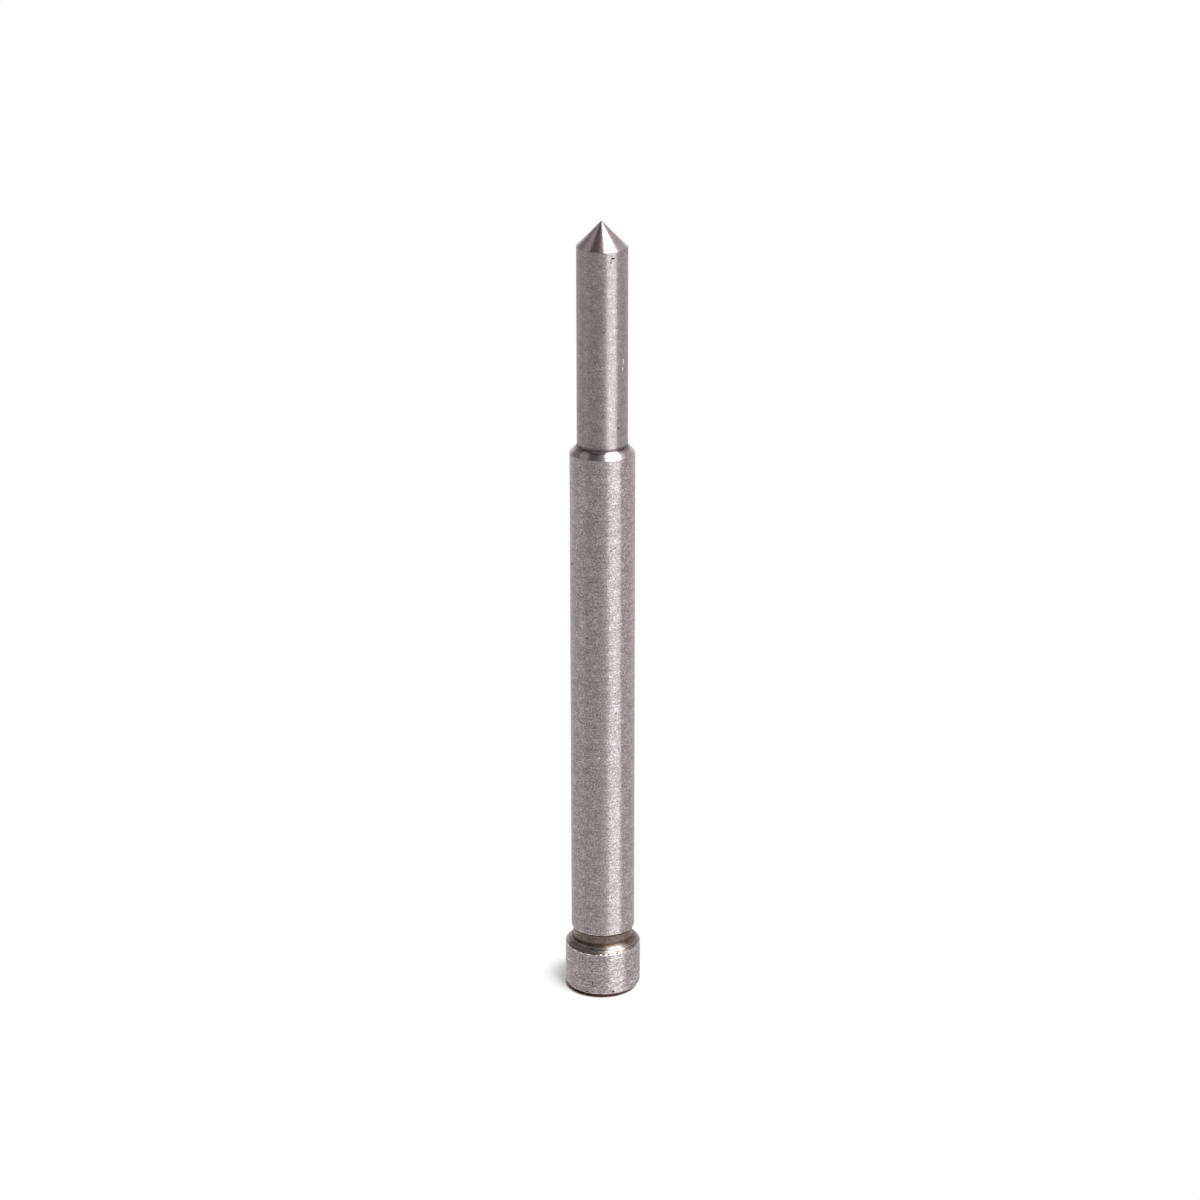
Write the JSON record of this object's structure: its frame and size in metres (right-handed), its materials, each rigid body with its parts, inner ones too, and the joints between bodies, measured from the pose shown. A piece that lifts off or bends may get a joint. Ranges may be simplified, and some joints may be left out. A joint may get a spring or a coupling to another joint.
{
  "type": "pilot pin",
  "caption": "Slim round steel pin with a ground shank, a narrower nose with a conical point, and a collar head set off by a shallow groove.",
  "frame": {"origin": "centre of the head's flat end face, which the pin stands on", "axes": "+Z along the pin's axis, from the head to the point"},
  "size_m": [0.0094, 0.0094, 0.1],
  "materials": {
    "ground_steel": "satin ground"
  },
  "bodies": {
    "root": {"pilot_pin": "ground_steel"}
  },
  "joints": []
}
